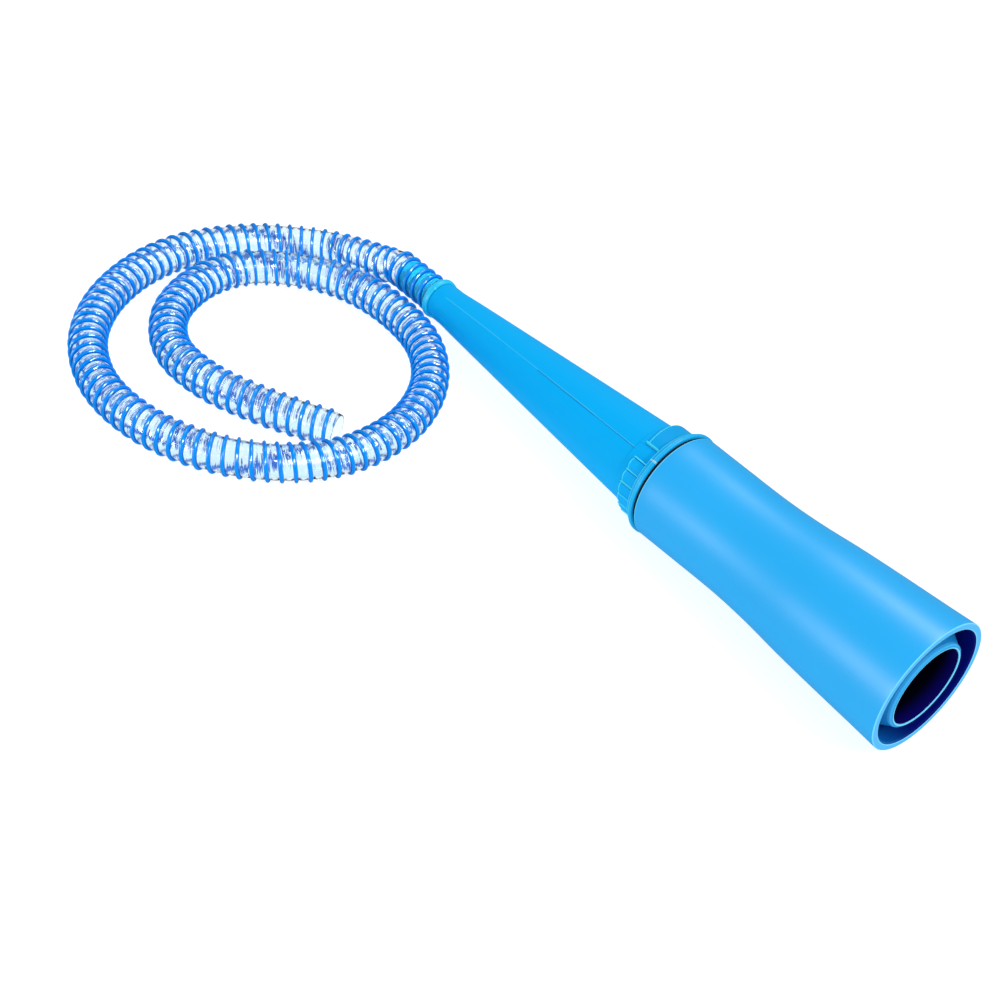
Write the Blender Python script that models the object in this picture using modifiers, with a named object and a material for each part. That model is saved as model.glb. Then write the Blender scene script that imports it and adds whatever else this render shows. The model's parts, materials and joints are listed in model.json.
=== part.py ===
"""A vent-cleaning vacuum hose attachment: a hollow tapered grip with a flexible spiral hose on its small end,
and a flared adapter with a nested reducer on its wide end. Metres, +Z up. It lies on the plane z = 0.

The grip, collar and adapter are turned about the tool axis. Stations are distances back from the adapter's
mouth along that axis, and in the tool's own frame the axis is local Z with the mouth at z = 0.
"""

import math

import bpy
from mathutils import Matrix, Vector

MM = 0.001
GAP = 0.3 * MM  # clearance between neighbouring solids
SEGMENTS = 48  # facets round a turned part, a multiple of four so that one corner meets the floor

# Adapter: an open mouth that takes a vacuum hose, and a bore that turns on the grip's nipple.
MOUTH_RADIUS = 32.3 * MM
MOUTH_BORE_RADIUS = 28.5 * MM
ADAPTER_LENGTH = 147.2 * MM
ADAPTER_SIDE = [(30, 30.4), (60, 28.35), (80, 26.55), (100, 25.65), (125, 25.8), (143, 26.0)]
ADAPTER_TAIL_RADIUS = 26.0 * MM
ADAPTER_BORE = [(92, 22.4), (70, 24.4), (52, 26.8), (41, 27.6)]  # from the swivel's stop ring to the mouth
SWIVEL_BORE_RADIUS = 22.8 * MM
SNAP_RIB_RADIUS = 21.5 * MM
STOP_RING_FRONT = 113.0 * MM  # the inner ring that the grip's nipple runs up to
STOP_RING_RADIUS = 20.5 * MM
SWIVEL_LAND = 8.0 * MM  # the closer part of the bore at the adapter's tail
EDGE = 0.8 * MM  # chamfer on moulded rims

# Reducer: a short sleeve seated in the mouth, a conical web and a small hose socket.
SOCKET_RADIUS = 19.05 * MM
LIP_RADIUS = 21.1 * MM
REDUCER_BASE_RADIUS = 27.2 * MM
REDUCER_LENGTH = 40 * MM
REDUCER_WALL = 2.2 * MM
SOCKET_DEPTH = 27 * MM
WEB_FRONT = 4 * MM  # the web runs back from the lip to the seated sleeve
WEB_BACK = 12.5 * MM

# Grip: a tapered tube from the collar down to the hose.
GRIP_START = 118 * MM  # free end of the nipple, inside the adapter
GRIP_END = 316 * MM
GRIP_SHOULDER = 165 * MM
GRIP_WIDE_RADIUS = 20.7 * MM
GRIP_NARROW_RADIUS = 9.7 * MM
GRIP_NECK = 308 * MM  # where the taper ends in a short straight neck
GRIP_WALL = 2.4 * MM
NIPPLE_RADIUS = 20.8 * MM
NIPPLE_LIP = 1.5 * MM  # how far the snap lip stands out
STUB_LENGTH = 11 * MM  # the connector's length inside the grip's neck

# Collar and retaining ring, between the grip's shoulder and the adapter.
COLLAR_FRONT = 152.6 * MM
COLLAR_BACK = 164.6 * MM
COLLAR_BASE_RADIUS = 21.9 * MM
COLLAR_BORE_RADIUS = 21.0 * MM
PAD_RADIUS = 23.3 * MM
RIB_RADIUS = 23.8 * MM
RIB_WIDTH = 0.9 * MM
RIB_STEP = 16.2  # degrees between grip ribs
PARTING = 35.5  # degrees from the top towards -Y, where the mould halves meet
PAD_GAP = 21.0  # degrees of bare collar at each mould joint
THUMB_PAD = 54.0  # degrees of plain pad on the top side
RING_FRONT = 148.5 * MM
RING_BACK = 152.3 * MM
RING_RADIUS = 26.6 * MM
RING_BACK_RADIUS = 25.3 * MM
RING_SPLIT = 1.0 * MM
SEAL_OUTER_RADIUS = 25.2 * MM
SEAL_INNER_RADIUS = 21.6 * MM

# Hose and the barbed tail that it is pushed onto.
HOSE_RADIUS = 9.5 * MM
HOSE_BORE_RADIUS = 8.2 * MM
FLANGE_RADIUS = 10.6 * MM
FLANGE_FRONT = 316.3 * MM
FLANGE_BACK = 319.5 * MM
TAIL_END = 344.5 * MM
TAIL_RADIUS = 7.4 * MM
BARB_RADIUS = 7.9 * MM
TAIL_BORE_RADIUS = 5.8 * MM
CUFF_END = TAIL_END + 0.8 * MM
HOSE_POINT_STEP = 16 * MM

# The tool leans on two rims, behind the chamfers of the adapter's mouth and of the retaining ring.
MOUTH_REST = EDGE / 2
RING_REST = RING_FRONT + 0.5 * MM
TILT = math.atan((MOUTH_RADIUS - RING_RADIUS) / (RING_REST - MOUTH_REST))
AXIS = Vector((math.cos(TILT), 0.0, math.sin(TILT)))
RIM_REACH = MOUTH_RADIUS * math.sin(TILT)
TAIL_REACH = TAIL_END * math.cos(TILT) + TAIL_RADIUS * math.sin(TILT)
MOUTH_X = (TAIL_REACH - RIM_REACH) / 2  # centres the rigid parts on the origin
MOUTH = Vector((MOUTH_X, 0.0, MOUTH_RADIUS * math.cos(TILT) + MOUTH_REST * math.sin(TILT)))

# The hose's centreline on the floor, in millimetres from the point below the mouth: x, y and height.
# It leaves the grip, turns once and a half, and ends open beside its own first turn.
HOSE_ROUTE = [
    (-358, -2.3, 16.6),
    (-371.7, -6.2, 13.8),
    (-388.4, -13.3, 11),
    (-401.6, -24.4, 9.8),
    (-413.8, -41.2, 9.6),
    (-422.2, -62.5, 9.6),
    (-425.6, -87, 9.6),
    (-420, -114.6, 9.6),
    (-404.6, -141.6, 9.6),
    (-381, -162, 9.6),
    (-350, -172, 9.6),
    (-316, -168, 9.6),
    (-285.6, -151.7, 9.6),
    (-263.8, -126.7, 9.6),
    (-254.8, -98, 9.6),
    (-259, -65.7, 9.6),
    (-276, -38.2, 9.6),
    (-301.6, -21.2, 9.6),
    (-332, -17.2, 9.6),
    (-361.6, -23.5, 9.6),
    (-383.5, -39, 9.6),
    (-398.2, -62, 9.6),
    (-398.5, -88, 9.6),
    (-384.7, -113.8, 9.6),
    (-360.8, -128.4, 9.6),
    (-334.2, -128, 9.6),
    (-307.2, -117.5, 9.6),
    (-271, -96.3, 9.6),
]

BLUE = (0.02, 0.36, 0.86, 1.0)
DEEP_BLUE = (0.02, 0.30, 0.72, 1.0)
TEAL = (0.02, 0.42, 0.66, 1.0)
BLACK = (0.02, 0.02, 0.03, 1.0)
CLEAR_BLUE = (0.35, 0.60, 0.95, 1.0)


def clear_scene():
    """Removes whatever the scene holds, such as the startup cube."""
    for item in list(bpy.data.objects):
        bpy.data.objects.remove(item)


def make_collections():
    """The collection that holds the parts, and one for the cutters."""
    parts = bpy.data.collections.new("vacuum_hose_attachment")
    cutters = bpy.data.collections.new("cutters")
    bpy.context.scene.collection.children.link(parts)
    bpy.context.scene.collection.children.link(cutters)
    return parts, cutters


def make_material(name, colour, roughness):
    """A plain Principled material for a moulded part."""
    material = bpy.data.materials.new(name)
    material.use_nodes = True
    shader = material.node_tree.nodes["Principled BSDF"]
    shader.inputs["Base Color"].default_value = colour
    shader.inputs["Roughness"].default_value = roughness
    shader.inputs["Metallic"].default_value = 0.0
    return material


def make_tool_axis(parts):
    """The empty at the mouth's centre, its local Z along the tool axis and its local X down."""
    empty = bpy.data.objects.new("tool_axis", None)
    parts.objects.link(empty)
    empty.location = MOUTH
    empty.rotation_euler = (0.0, math.pi / 2 - TILT, 0.0)
    return empty


def smooth_line(points, per_span):
    """Points on a Catmull-Rom curve through the given vectors."""
    ends = [2 * points[0] - points[1]] + points + [2 * points[-1] - points[-2]]
    line = []
    for before, start, stop, after in zip(ends, ends[1:], ends[2:], ends[3:]):
        for step in range(per_span):
            u = step / per_span
            even = 2 * before - 5 * start + 4 * stop - after
            odd = 3 * start - before - 3 * stop + after
            line.append(0.5 * (2 * start + (stop - before) * u + even * u * u + odd * u**3))
    line.append(points[-1])
    return line


def around(degrees_from_top):
    """The local polar angle, in radians, of a place seen from the top towards -Y."""
    return math.radians(180 + degrees_from_top)


def turn(name, outline, parts, material, axis, segments=SEGMENTS):
    """A solid of revolution about the tool axis. The outline holds (station, radius) pairs: it runs back along
    the outer side and returns along the inner side."""
    mesh = bpy.data.meshes.new(name)
    corners = [(radius, 0.0, -station) for station, radius in outline]
    edges = [(i, (i + 1) % len(corners)) for i in range(len(corners))]
    mesh.from_pydata(corners, edges, [])
    body = bpy.data.objects.new(name, mesh)
    parts.objects.link(body)
    body.parent = axis
    mesh.materials.append(material)
    screw = body.modifiers.new("turned", "SCREW")
    screw.axis = "Z"
    screw.angle = 2 * math.pi
    screw.steps = segments
    screw.render_steps = segments
    screw.use_merge_vertices = True
    screw.merge_threshold = 0.0001 * MM
    screw.use_smooth_shade = True
    return body


def box_at_angle(name, size, station, radius, angle, cutters, axis):
    """A helper box: radial depth, width and length along the axis, standing at a polar angle."""
    bpy.ops.mesh.primitive_cube_add(size=1.0)
    box = bpy.context.object
    box.name = name
    for collection in list(box.users_collection):
        collection.objects.unlink(box)
    cutters.objects.link(box)
    box.data.transform(Matrix.Diagonal((*size, 1.0)))
    box.parent = axis
    box.rotation_euler = (0.0, 0.0, angle)
    box.location = (radius * math.cos(angle), radius * math.sin(angle), -station)
    box.hide_render = True
    box.display_type = "WIRE"
    return box


def cut_or_join(body, helper, operation):
    """Adds a Boolean with one helper."""
    change = body.modifiers.new(helper.name, "BOOLEAN")
    change.operation = operation
    change.object = helper
    change.solver = "EXACT"


def adapter_outline():
    """Mouth rim, flared side, chamfered tail, then the stepped bore back to the mouth."""
    side = [Vector((station * MM, radius * MM)) for station, radius in ADAPTER_SIDE]
    flare = [tuple(point) for point in smooth_line(side, 2)]
    outer = [(0.0, MOUTH_RADIUS - MOUTH_REST), (MOUTH_REST, MOUTH_RADIUS)] + flare
    outer += [
        (ADAPTER_LENGTH - EDGE, ADAPTER_TAIL_RADIUS),
        (ADAPTER_LENGTH, ADAPTER_TAIL_RADIUS - EDGE),
    ]
    land_front = ADAPTER_LENGTH - SWIVEL_LAND
    rib_front = GRIP_START + 4.6 * MM
    rib_back = rib_front + 2.0 * MM
    stop_back = GRIP_START - 0.5 * MM
    bore = [
        (ADAPTER_LENGTH, SNAP_RIB_RADIUS),
        (land_front, SNAP_RIB_RADIUS),
        (land_front, SWIVEL_BORE_RADIUS),
        (rib_back, SWIVEL_BORE_RADIUS),
        (rib_back, SNAP_RIB_RADIUS),
        (rib_front, SNAP_RIB_RADIUS),
        (rib_front - 0.6 * MM, SWIVEL_BORE_RADIUS),
        (stop_back, SWIVEL_BORE_RADIUS),
        (stop_back - EDGE, STOP_RING_RADIUS),
        (STOP_RING_FRONT, STOP_RING_RADIUS),
    ]
    bore += [(station * MM, radius * MM) for station, radius in ADAPTER_BORE]
    return outer + bore + [(0.0, MOUTH_BORE_RADIUS)]


def reducer_outline():
    """Lip at the mouth, conical web, seated sleeve, and the small socket tube inside it."""
    front = 0.2 * MM  # the lip stands this far inside the mouth
    sleeve_bore = REDUCER_BASE_RADIUS - REDUCER_WALL
    return [
        (front, LIP_RADIUS - EDGE),
        (front + EDGE, LIP_RADIUS),
        (WEB_FRONT - 1.0 * MM, LIP_RADIUS),
        (WEB_FRONT, LIP_RADIUS + 0.9 * MM),
        (WEB_BACK - 1.5 * MM, REDUCER_BASE_RADIUS - 0.6 * MM),
        (WEB_BACK, REDUCER_BASE_RADIUS),
        (REDUCER_LENGTH, REDUCER_BASE_RADIUS),
        (REDUCER_LENGTH, sleeve_bore),
        (WEB_BACK + 1.5 * MM, sleeve_bore),
        (WEB_FRONT + 4.5 * MM, LIP_RADIUS - 0.2 * MM),
        (SOCKET_DEPTH, LIP_RADIUS - 0.8 * MM),
        (SOCKET_DEPTH, SOCKET_RADIUS - 0.7 * MM),
        (front, SOCKET_RADIUS),
    ]


def grip_outline():
    """Nipple with its snap lip, shoulder, long taper and straight neck, then the bore back."""
    lip_radius = NIPPLE_RADIUS + NIPPLE_LIP
    neck_bore = TAIL_RADIUS + GAP
    return [
        (GRIP_START, lip_radius - 1.1 * MM),
        (GRIP_START + 1.0 * MM, lip_radius),
        (GRIP_START + 3.0 * MM, lip_radius),
        (GRIP_START + 3.6 * MM, NIPPLE_RADIUS),
        (GRIP_SHOULDER, GRIP_WIDE_RADIUS - 0.1 * MM),
        (GRIP_NECK, GRIP_NARROW_RADIUS),
        (GRIP_END, GRIP_NARROW_RADIUS),
        (GRIP_END, neck_bore),
        (GRIP_END - STUB_LENGTH - 1.0 * MM, neck_bore),
        (GRIP_SHOULDER, GRIP_WIDE_RADIUS - GRIP_WALL),
        (GRIP_START, GRIP_WIDE_RADIUS - GRIP_WALL),
    ]


def connector_outline():
    """Stub inside the grip, rounded flange and barbed tail, then the bore."""
    stub_end = GRIP_END - STUB_LENGTH
    flange_edge = FLANGE_RADIUS - EDGE
    outline = [
        (stub_end, TAIL_RADIUS - 0.4 * MM),
        (stub_end + 1.0 * MM, TAIL_RADIUS),
        (FLANGE_FRONT, TAIL_RADIUS),
        (FLANGE_FRONT, flange_edge),
        (FLANGE_FRONT + 0.7 * MM, FLANGE_RADIUS - 0.1 * MM),
        ((FLANGE_FRONT + FLANGE_BACK) / 2, FLANGE_RADIUS),
        (FLANGE_BACK - 0.7 * MM, FLANGE_RADIUS - 0.1 * MM),
        (FLANGE_BACK, flange_edge),
        (FLANGE_BACK, TAIL_RADIUS),
    ]
    barbs = 4
    pitch = (TAIL_END - FLANGE_BACK) / (barbs + 1)
    for index in range(barbs):
        start = FLANGE_BACK + (index + 0.8) * pitch
        outline += [(start, TAIL_RADIUS), (start, BARB_RADIUS), (start + 0.7 * pitch, TAIL_RADIUS)]
    outline += [
        (TAIL_END - EDGE, TAIL_RADIUS),
        (TAIL_END, TAIL_RADIUS - EDGE),
        (TAIL_END, TAIL_BORE_RADIUS),
        (stub_end, TAIL_BORE_RADIUS),
    ]
    return outline


def build_collar(parts, cutters, material, axis):
    """The turned grip collar: a pad ring cut back at the two mould joints, with ribs joined on."""
    ramp = 3.6 * MM
    collar = turn(
        "lock_collar",
        [
            (COLLAR_FRONT, PAD_RADIUS - 0.5 * MM),
            (COLLAR_FRONT + 0.5 * MM, PAD_RADIUS),
            (COLLAR_BACK - ramp, PAD_RADIUS),
            (COLLAR_BACK, COLLAR_BASE_RADIUS),
            (COLLAR_BACK, COLLAR_BORE_RADIUS),
            (COLLAR_FRONT, COLLAR_BORE_RADIUS),
        ],
        parts,
        material,
        axis,
    )
    length = COLLAR_BACK - COLLAR_FRONT + 2 * MM
    middle = (COLLAR_BACK + COLLAR_FRONT) / 2
    pad_cut = 4 * MM
    width = 2 * PAD_RADIUS * math.sin(math.radians(PAD_GAP / 2))
    for side in (0, 180):
        size = (pad_cut, width, length)
        angle = around(PARTING + side)
        place = COLLAR_BASE_RADIUS - 0.2 * MM + pad_cut / 2
        bare = box_at_angle(f"bare_{side}", size, middle, place, angle, cutters, axis)
        cut_or_join(collar, bare, "DIFFERENCE")
    rib_size = (1.6 * MM, RIB_WIDTH, 6.4 * MM)
    for index, angle in enumerate(rib_angles()):
        place = RIB_RADIUS - rib_size[0] / 2
        station = COLLAR_FRONT + 0.8 * MM + rib_size[2] / 2
        rib = box_at_angle(f"rib_{index}", rib_size, station, place, around(angle), cutters, axis)
        cut_or_join(collar, rib, "UNION")
    return collar


def rib_angles():
    """Ribs on both sides of the collar, from each bare gap on, leaving the thumb pad plain."""
    reach = PAD_GAP / 2 + math.degrees(0.6 * RIB_WIDTH / PAD_RADIUS)
    lower = [PARTING + reach + RIB_STEP * index for index in range(10)]
    top_edge = PARTING - reach
    upper = [top_edge - THUMB_PAD - RIB_STEP * index for index in range(7)]
    return lower + [top_edge] + upper


def build_retaining_ring(parts, cutters, material, axis):
    """The split ring that holds the collar on: two bands, cut through at the mould joint."""
    bore = COLLAR_BORE_RADIUS + 0.1 * MM
    ring = turn(
        "retaining_ring",
        [
            (RING_FRONT, RING_RADIUS - 0.5 * MM),
            (RING_REST, RING_RADIUS),
            (RING_FRONT + 1.7 * MM, RING_RADIUS),
            (RING_FRONT + 2.1 * MM, RING_BACK_RADIUS),
            (RING_BACK - 0.4 * MM, RING_BACK_RADIUS),
            (RING_BACK, RING_BACK_RADIUS - 0.4 * MM),
            (RING_BACK, bore),
            (RING_FRONT, bore),
        ],
        parts,
        material,
        axis,
    )
    size = (8 * MM, RING_SPLIT, RING_BACK - RING_FRONT + 2 * MM)
    middle = (RING_BACK + RING_FRONT) / 2
    place = (RING_RADIUS + bore) / 2
    slit = box_at_angle("ring_slit", size, middle, place, around(PARTING + 3), cutters, axis)
    cut_or_join(ring, slit, "DIFFERENCE")
    return ring


def build_hose(parts, material):
    """The free length of hose: a plain tube from the end of the cuff to the open end."""
    start = MOUTH - AXIS * (CUFF_END + GAP)
    straight = start - AXIS * 6 * MM
    laid = [Vector((x * MM + MOUTH_X, y * MM, z * MM)) for x, y, z in HOSE_ROUTE]
    fine = smooth_line([straight] + laid, 24)
    travelled = [0.0]
    for here, there in zip(fine, fine[1:]):
        travelled.append(travelled[-1] + (there - here).length)
    count = round(travelled[-1] / HOSE_POINT_STEP)
    centres = [start]
    centres += [point_at(fine, travelled, travelled[-1] * index / count) for index in range(count + 1)]
    curve = bpy.data.curves.new("hose_run", "CURVE")
    curve.dimensions = "3D"
    curve.bevel_depth = HOSE_RADIUS
    curve.bevel_resolution = 4
    curve.use_fill_caps = True
    spline = curve.splines.new("POLY")
    spline.points.add(len(centres) - 1)
    for point, centre in zip(spline.points, centres):
        point.co = (*centre, 1.0)
    curve.materials.append(material)
    parts.objects.link(bpy.data.objects.new("hose_run", curve))


def point_at(line, travelled, distance):
    """The point a given distance along a finely divided line."""
    for index in range(1, len(line)):
        if travelled[index] >= distance:
            part = (distance - travelled[index - 1]) / (travelled[index] - travelled[index - 1])
            return line[index - 1].lerp(line[index], part)
    return line[-1]


def main():
    clear_scene()
    parts, cutters = make_collections()
    axis = make_tool_axis(parts)
    blue = make_material("blue_plastic", BLUE, 0.35)
    satin = make_material("satin_plastic", BLUE, 0.45)
    deep = make_material("reducer_plastic", DEEP_BLUE, 0.45)
    teal = make_material("connector_plastic", TEAL, 0.35)
    rubber = make_material("black_rubber", BLACK, 0.7)
    clear = make_material("hose_plastic", CLEAR_BLUE, 0.15)

    turn("adapter_sleeve", adapter_outline(), parts, satin, axis)
    turn("reducer_sleeve", reducer_outline(), parts, deep, axis)
    seal = [
        (ADAPTER_LENGTH + GAP, SEAL_OUTER_RADIUS),
        (RING_FRONT - GAP, SEAL_OUTER_RADIUS),
        (RING_FRONT - GAP, SEAL_INNER_RADIUS),
        (ADAPTER_LENGTH + GAP, SEAL_INNER_RADIUS),
    ]
    turn("swivel_seal", seal, parts, rubber, axis)
    build_retaining_ring(parts, cutters, blue, axis)
    build_collar(parts, cutters, blue, axis)
    turn("handle_cone", grip_outline(), parts, blue, axis)
    turn("hose_connector", connector_outline(), parts, teal, axis, 32)
    cuff = [
        (FLANGE_BACK + GAP, HOSE_RADIUS),
        (CUFF_END, HOSE_RADIUS),
        (CUFF_END, HOSE_BORE_RADIUS),
        (FLANGE_BACK + GAP, HOSE_BORE_RADIUS),
    ]
    turn("hose_cuff", cuff, parts, clear, axis, 32)
    build_hose(parts, clear)
    bpy.context.view_layer.update()


main()
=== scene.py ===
"""Looks of the vent-cleaning vacuum hose attachment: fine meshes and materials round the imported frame.

The tool's pieces are turned about the tool axis. A station is a distance back from the adapter's mouth
along that axis, and phi is an angle round it in degrees, from the top towards -Y. Outlines are in
millimetres.
"""

import json
import math

import bmesh
import bpy
from mathutils import Matrix, Vector


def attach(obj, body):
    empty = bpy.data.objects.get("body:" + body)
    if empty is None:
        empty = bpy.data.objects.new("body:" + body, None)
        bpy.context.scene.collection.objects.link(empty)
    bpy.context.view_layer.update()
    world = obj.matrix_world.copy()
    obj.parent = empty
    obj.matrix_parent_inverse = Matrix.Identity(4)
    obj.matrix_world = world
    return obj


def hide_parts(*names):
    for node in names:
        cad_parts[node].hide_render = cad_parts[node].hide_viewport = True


MM = 0.001

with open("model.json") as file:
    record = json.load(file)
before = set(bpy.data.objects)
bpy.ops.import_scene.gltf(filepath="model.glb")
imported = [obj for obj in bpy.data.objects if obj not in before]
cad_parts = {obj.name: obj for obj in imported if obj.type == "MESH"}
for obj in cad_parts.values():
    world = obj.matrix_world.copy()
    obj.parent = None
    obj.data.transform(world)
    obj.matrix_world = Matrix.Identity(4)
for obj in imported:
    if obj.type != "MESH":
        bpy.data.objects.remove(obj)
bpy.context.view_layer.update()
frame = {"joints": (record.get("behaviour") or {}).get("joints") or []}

# The tool axis, from the collar's joint.
COLLAR_MIDDLE = 158.6
COLLAR_JOINT = next(joint for joint in frame["joints"] if joint["name"] == "collar_twist")
AXIS = Vector(COLLAR_JOINT["axis"]).normalized()
MOUTH = Vector(COLLAR_JOINT["pos_m"]) + AXIS * (COLLAR_MIDDLE * MM)
SIDE = Vector((0.0, -1.0, 0.0))
UP = AXIS.cross(SIDE) * -1.0

# Adapter
MOUTH_RADIUS = 32.3
MOUTH_BORE = 28.5
RIM_INSIDE = 29.2
RIM_EDGE_INSIDE = 0.35  # how wide the rim's painted highlights on its edges are
RIM_EDGE_OUTSIDE = 0.45
ADAPTER_LENGTH = 147.2
ADAPTER_SIDE = [
    (15, 31.3),
    (30, 30.4),
    (45, 29.45),
    (60, 28.35),
    (80, 26.55),
    (100, 25.65),
    (125, 25.8),
    (143, 26.0),
]
ADAPTER_TAIL = 26.0
ADAPTER_BORE = [(113, 20.5), (92, 22.4), (70, 24.4), (52, 26.8), (41, 27.6)]
REDUCER_SEAT = [(20.0, 28.1), (8.0, 28.35), (3.0, 28.45)]
SWIVEL_BORE = 22.8
SWIVEL_LAND = 21.5
SWIVEL_BACK = 139.2  # the land at the tail ends here
SWIVEL_RIB = (124.6, 122.6, 122.0)  # the second land: back, front and foot of its slope
SWIVEL_FRONT = 117.5
PASSAGE_RADIUS = 20.5
BORE_SHADE = (0.006, -0.023)  # where the bore's painted shade is darkest and lightest along Y, in metres

# Reducer
SOCKET_RADIUS = 19.05
LIP_RADIUS = 21.1
REDUCER_BASE = 27.2
REDUCER_WALL = 2.2
REDUCER_LENGTH = 40.0
SLEEVE_START = 12.5
SOCKET_DEPTH = 27.0
SOCKET_SHADE = (0.0085, 0.001)  # metres behind the mouth where the socket's painted shade is darkest and lightest
LIP_END = 2.3  # the web's painted shade, a deeper blue, begins here

# Grip
GRIP_START = 118.0
GRIP_END = 316.0
GRIP_SIDE = [(165, 20.6), (180, 19.5), (207, 17.5), (235, 15.4), (264, 13.2), (294, 10.9), (306, 9.85)]
GRIP_NECK = 9.7
GRIP_WALL = 2.4
NIPPLE_RADIUS = 20.8
NIPPLE_BEAD = 22.3
PARTING_AT_COLLAR = 38.0  # degrees
PARTING_AT_HOSE = 31.0
RIDGE_HEIGHT = 0.16
RIDGE_HALF_WIDTH = 0.34
RIDGE_STOP = 310.5  # the line fades out just before the grip's small end
RIDGE_FADE = 45.0
RIDGE_SHADED = 235.0  # nearer the collar the line has a painted shade on one side

# Collar and ring
COLLAR_FRONT = 152.6
COLLAR_BACK = 164.6
COLLAR_BORE = 21.0
COLLAR_BASE = 21.9
COLLAR_TAIL = 21.05
PAD_RADIUS = 23.2
RIB_RADIUS = 23.7
RIB_HALF_WIDTH = 0.32
RIB_BACK = 160.7
RIB_CROWN = 0.2
RIB_FOOT_DEPTH = 0.3
RIB_FOOT_END = 2.4  # in half widths from the rib's middle
FIRST_RIB = 46.0  # degrees
RIB_SPACING = 16.2
RIBS = 10
RIB_ANGLES = [FIRST_RIB + RIB_SPACING * index for index in range(RIBS)]
THUMB_RIB = 25.0
THUMB_MIDDLE = -54.5
THUMB_REACH = 79.0
THUMB_ARC = 3.0  # how far the thumb pad's back edge bows towards the hose
SCALLOP = 0.9  # and the edge between two ribs
GAP_MIDDLE = 35.5
GAP_HALF_ANGLE = 9.6  # degrees
PAD_SIDE = 0.9  # degrees from a gap's edge to a pad's full height
PAD_RISE = 0.8  # millimetres from a pad's back edge to its full height
PAD_LINE = (0.7, 1.2)  # the painted highlight line lies between these distances from a pad's back edge
COLLAR_CHAMFER = 0.5  # along the axis at the collar's front, and how deep
COLLAR_CHAMFER_DEPTH = 0.35
COLLAR_FALL = 158.0  # behind this station the collar's base narrows towards the grip
COLLAR_STEP = 0.25
COLLAR_COLUMNS = 720
RING_FRONT = 148.5
RING_BACK = 152.3
RING_RADIUS = 26.6
RING_BACK_RADIUS = 25.3
RING_COLUMNS = 158
RING_ROUNDING = 4  # facets on each rounded corner
SLIT_ANGLE = 38.5
SLIT_HALF_WIDTH = 0.07
SLIT_LIT = 0.33  # how far the painted highlight reaches from each end of the slit
SEAL_FRONT = 147.4
SEAL_BACK = 148.3
SEAL_RADIUS = 25.2
SEAL_BORE = 21.6

# Connector and hose
FLANGE_RADIUS = 10.6
FLANGE_FRONT = 316.3
FLANGE_BACK = 319.5
TAIL_END = 344.5
TAIL_RADIUS = 7.4
BARB_RADIUS = 7.9
BARBS = 4
TAIL_BORE = 5.8
NIB_RADIUS = 0.75
NIB_ANGLE = 30.0
HOSE_RADIUS = 9.5
HOSE_START = 319.8
HOSE_STRAIGHT_END = 351.6
HOSE_PITCH = 6.0
HOSE_WALL_RADIUS = 8.3
HOSE_WALL = 0.7
HOSE_RIB_HALF_WIDTH = 0.95
HOSE_RIB_FOOT = 7.9
HOSE_RIB_START = 1.4
RIB_STEPS_PER_TURN = 36
RIB_ARC = 7  # facets across the rib's round top
WALL_STEP = 0.8  # millimetres between rings of the wall
WALL_COLUMNS = 40
WALL_BULGE = 0.2
WALL_RIPPLES = 6.5  # fine ripples in the clear wall per turn of the rib
WALL_STREAKS = 5.0  # and their changes round the hose
WALL_RIPPLE_DEPTH = 0.22
HOSE_BARE_END = 2.5  # millimetres without the rib at the open end

# The hose's centreline, in millimetres from the floor point below the mouth: x, y and height.
HOSE_ROUTE = [
    (-358, -2.3, 16.6),
    (-371.7, -6.2, 13.8),
    (-388.4, -13.3, 11),
    (-401.6, -24.4, 9.8),
    (-413.8, -41.2, 9.6),
    (-422.2, -62.5, 9.6),
    (-425.6, -87, 9.6),
    (-420, -114.6, 9.6),
    (-404.6, -141.6, 9.6),
    (-381, -162, 9.6),
    (-350, -172, 9.6),
    (-316, -168, 9.6),
    (-285.6, -151.7, 9.6),
    (-263.8, -126.7, 9.6),
    (-254.8, -98, 9.6),
    (-259, -65.7, 9.6),
    (-276, -38.2, 9.6),
    (-301.6, -21.2, 9.6),
    (-332, -17.2, 9.6),
    (-361.6, -23.5, 9.6),
    (-383.5, -39, 9.6),
    (-398.2, -62, 9.6),
    (-398.5, -88, 9.6),
    (-384.7, -113.8, 9.6),
    (-360.8, -128.4, 9.6),
    (-334.2, -128, 9.6),
    (-307.2, -117.5, 9.6),
    (-271, -96.3, 9.6),
]


# ---------------------------------------------------------------- camera, light and floor

CAMERA_PLACE = (0.37664, -0.48989, 0.53626)
CAMERA_AZIMUTH = -47.016  # degrees, from +X towards +Y
CAMERA_ELEVATION = 41.910
CAMERA_ROLL = 10.757
CAMERA_LENS = 63.0  # on a sensor 36 mm wide
KEY_PLACE = (1.5, 0.1, 1.5)
KEY_TARGET = (0.0, -0.05, 0.0)
BOX_TARGET = (0.1, 0.0, 0.03)
KEY_WATTS = 12.0
GLINT_WATTS = 280.0
SOFT_BOXES = [
    ("back", (-0.18, 0.47, 1.08), (0.56, 0.34), 11.0),
    ("front", (-0.18, -1.15, 0.16), (0.56, 0.34), 13.5),
]
ROOM_LIGHT = 0.86
ROOM_REFLECTION = 0.08
BACKDROP_LIGHT = 1.05
FLOOR_GLOW = 0.82
FLOOR_REFLECTION = 0.16
FLOOR_HALF = 20.0  # metres


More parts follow.
